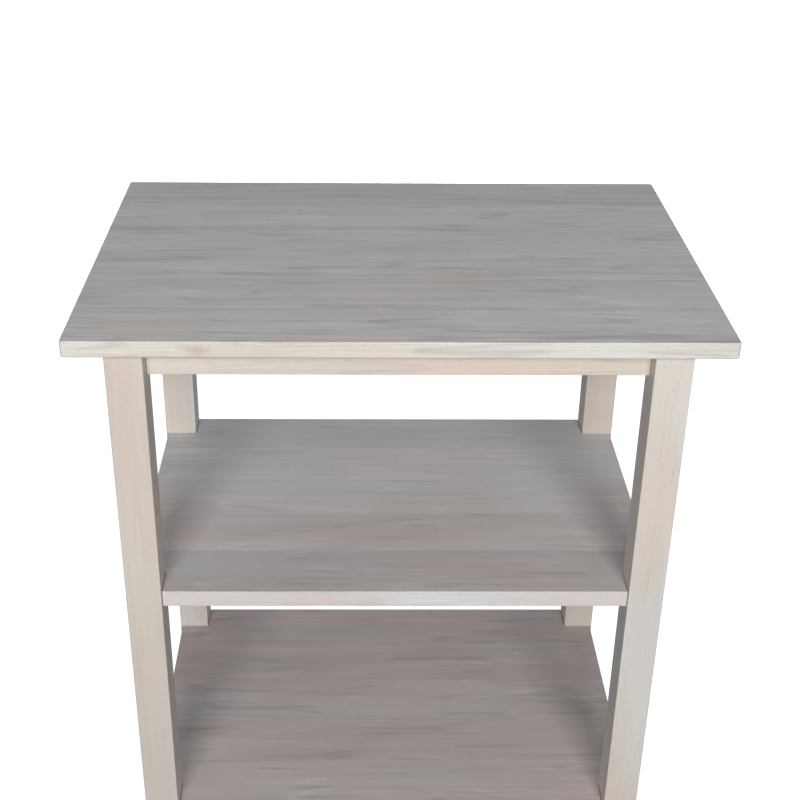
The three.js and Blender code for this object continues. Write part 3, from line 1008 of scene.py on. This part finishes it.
def top_screw_pattern(length):
    """A pan-head wood screw along Z, head down at 0, with a cross recess."""
    head = 3 * MM
    core, crest, pitch = 1.5 * MM, 0.65 * MM, 1.8 * MM
    plain, point = 12 * MM, 6 * MM

    def radius_at(height, turn):
        tip = ease_in(length - head - height, -0.3 * MM, point)
        start = ease_in(height, plain, 2 * MM)
        return (core + crest * start * thread(height, turn, pitch) ** 1.5) * tip + 0.02 * MM

    screw = to_object(swept_shaft(length - head, 0.25 * MM, 16, radius_at), "screw")
    screw.data.transform(Matrix.Translation((0, 0, head - 0.05 * MM)))
    cap = [
        (0, 0),
        (2.2 * MM, 0.05 * MM),
        (3.4 * MM, 0.5 * MM),
        (4.0 * MM, 1.2 * MM),
        (4.1 * MM, 2.0 * MM),
        (4.1 * MM, 2.5 * MM),
        (1.6 * MM, 2.7 * MM),
        (1.6 * MM, 3.2 * MM),
        (0, 3.2 * MM),
    ]
    combine(screw, [to_object(revolved(cap, 40), "tool")], "UNION")
    slots = []
    arm, half_width = 2.2 * MM, 0.5 * MM
    for x, y in ((arm, half_width), (half_width, arm)):
        outline = rounded_outline((-x, -y), (x, y), 0.3 * MM, 3)
        slots.append(to_object(prism(outline, -MM, 1.5 * MM), "tool"))
    return combine(screw, slots, "DIFFERENCE")


def build_top_screw(corner, pattern):
    node = f"{corner}_top_screw"
    screw = copy_of(pattern, node)
    screw.data.transform(Matrix.Translation(foot(node)))
    finish_piece(screw, node + "_threaded", node, ZINC, 50)


def build_glide(corner):
    """A push-in glide: a domed disc with a ribbed peg."""
    node = f"{corner}_glide"
    low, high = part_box(node)
    disc = (high.x - low.x) / 2
    height = high.z - low.z
    dome_width, dome_rise, dome_steps = 2.5 * MM, 2.2 * MM, 6
    peg, ribbed, rib_count = 3.6 * MM, 4.0 * MM, 4
    profile = [(0, 0), (disc - dome_width, 0)]
    for step in range(1, dome_steps + 1):
        angle = step / dome_steps * math.pi / 2
        radius = disc - dome_width + dome_width * math.sin(angle)
        profile.append((radius, dome_rise - dome_rise * math.cos(angle)))
    profile += [(disc, 4.4 * MM), (disc - 0.5 * MM, 4.95 * MM), (peg, 5.0 * MM)]
    for rib in range(rib_count):
        base = 6.0 * MM + rib * 3.0 * MM
        profile += [(peg, base), (ribbed, base + 0.8 * MM), (peg, base + 1.6 * MM)]
    profile += [(3.4 * MM, height - 0.8 * MM), (2.6 * MM, height), (0, height)]
    glide = to_object(revolved(profile, 64), node)
    glide.data.transform(Matrix.Translation(foot(node)))
    finish_piece(glide, node + "_moulded", node, NYLON, 40)


# ---------------------------------------------------------------- stage, light and camera

# The room's light from below, from the sides, from overhead and from low down behind the table.
LOW_LIGHT = (0.20, 0.20, 0.20)
SIDE_LIGHT = (0.03, 0.03, 0.035)
HIGH_LIGHT = (0.24, 0.29, 0.37)
BACK_LIGHT = (0.18, 0.22, 0.30)

# Each lamp's place, what it points at, its width and height in metres, and its power in watts.
SOFTBOXES = {
    "key_left": ((-0.79, -3.4, 2.28), (0, 0, 0.6), 1.1, 1.0, 71),
    "key_right": ((0.79, -3.4, 2.28), (0, 0, 0.6), 1.1, 1.0, 71),
    "rear_fill": ((0, 3.4, 0.30), (0, 0, 0.50), 0.7, 0.44, 44),
}

# The camera's place in metres, its angles in degrees, its lens in millimetres and its shifts.
CAMERA_PLACE = (-0.0468, -1.5363, 1.5786)
CAMERA_PITCH = 26.476
CAMERA_TURN = -0.731
CAMERA_ROLL = 0.490
CAMERA_LENS = 58.43
CAMERA_SHIFT = (0.0324, -0.0975)


def floor_material():
    """A pale floor lit from within, so that it stays near white, with only a faint shadow."""
    material, _, shader = new_material("pale_floor")
    shader.inputs["Base Color"].default_value = (0.85, 0.85, 0.85, 1)
    shader.inputs["Roughness"].default_value = 0.9
    shader.inputs["Specular IOR Level"].default_value = 0.0
    shader.inputs["Emission Color"].default_value = (1, 1, 1, 1)
    shader.inputs["Emission Strength"].default_value = 0.88
    return material


def build_floor():
    """A wide round-cornered slab, which the camera sees but which throws no light on the table."""
    half_width = 30
    outline = rounded_outline((-half_width, -half_width), (half_width, half_width), 5, 12)
    floor = to_object(prism(outline, -0.02, 0.0), "floor")
    floor.data.materials.append(floor_material())
    floor.visible_diffuse = False
    floor.visible_glossy = False


def build_world():
    """Dim room light: cool from overhead, paler low down behind the table. Seen directly, it is white."""
    world = bpy.data.worlds.new("room_light")
    bpy.context.scene.world = world
    world.use_nodes = True
    graph = Graph(world.node_tree)
    split = graph.node("ShaderNodeSeparateXYZ")
    graph.feed(split.inputs[0], graph.node("ShaderNodeTexCoord").outputs["Generated"])
    height = graph.stretch(split.outputs["Z"], -1.0, 1.0)
    stops = [(0.0, LOW_LIGHT), (0.5, SIDE_LIGHT), (0.85, SIDE_LIGHT), (0.91, HIGH_LIGHT)]
    room = graph.ramp(height, stops)
    behind = graph.stretch(split.outputs["Y"], 0.4, 0.9)
    level = graph.stretch(graph.math("ABSOLUTE", split.outputs["Z"]), 0.25, 0.75, 1.0, 0.0)
    room = graph.mix(graph.math("MULTIPLY", behind, level), room, (*BACK_LIGHT, 1))
    seen = graph.node("ShaderNodeLightPath").outputs["Is Camera Ray"]
    background = world.node_tree.nodes["Background"]
    graph.feed(background.inputs["Color"], graph.mix(seen, room, (1, 1, 1, 1)))
    background.inputs["Strength"].default_value = 1.0


def add_softbox(name, place, target, width, height, power):
    data = bpy.data.lights.new(name, "AREA")
    data.shape = "RECTANGLE"
    data.size = width
    data.size_y = height
    data.energy = power
    lamp = bpy.data.objects.new(name, data)
    bpy.context.scene.collection.objects.link(lamp)
    lamp.location = place
    lamp.rotation_euler = (Vector(target) - Vector(place)).to_track_quat("-Z", "Y").to_euler()
    lamp.visible_camera = False


def add_camera():
    """Looks down at the table from just left of its middle, with the lens shifted to the framing."""
    pitch = math.radians(CAMERA_PITCH)
    turn = math.radians(CAMERA_TURN)
    roll = math.radians(CAMERA_ROLL)
    forward = Vector((-math.sin(turn) * math.cos(pitch), math.cos(turn) * math.cos(pitch), -math.sin(pitch)))
    level = Vector((math.cos(turn), math.sin(turn), 0))
    above = level.cross(forward)
    right = level * math.cos(roll) + above * math.sin(roll)
    above = above * math.cos(roll) - level * math.sin(roll)
    data = bpy.data.cameras.new("camera")
    data.sensor_fit = "HORIZONTAL"
    data.sensor_width = 36
    data.lens = CAMERA_LENS
    data.shift_x, data.shift_y = CAMERA_SHIFT
    data.clip_end = 100
    camera = bpy.data.objects.new("camera", data)
    bpy.context.scene.collection.objects.link(camera)
    turned = Matrix((right, above, -forward)).transposed().to_4x4()
    camera.matrix_world = Matrix.Translation(CAMERA_PLACE) @ turned
    bpy.context.scene.camera = camera


# ---------------------------------------------------------------- assembly

ZINC = zinc_material()
NYLON = nylon_material()

build_top()
for shelf_name in SHELVES:
    build_shelf(shelf_name)
for number, side in enumerate(("front", "rear", "left", "right")):
    build_apron(side, number)

nut_pattern = flange_nut_pattern()
screw_low, screw_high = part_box("front_left_top_screw")
screw_pattern = top_screw_pattern(screw_high.z - screw_low.z)
bolt_patterns = {}
for number, corner_name in enumerate(CORNERS):
    build_leg(corner_name, number)
    build_corner_block(corner_name, number)
    build_glide(corner_name)
    build_top_screw(corner_name, screw_pattern)
    for fixing_name in ("leg", *SHELVES):
        build_bolt(corner_name, fixing_name, bolt_patterns)
        build_nut(corner_name, fixing_name, nut_pattern)
for pattern in (nut_pattern, screw_pattern, *bolt_patterns.values()):
    bpy.data.objects.remove(pattern)

build_floor()
build_world()
for lamp_name, settings in SOFTBOXES.items():
    add_softbox(lamp_name, *settings)
add_camera()
bpy.context.scene.view_settings.view_transform = "Standard"
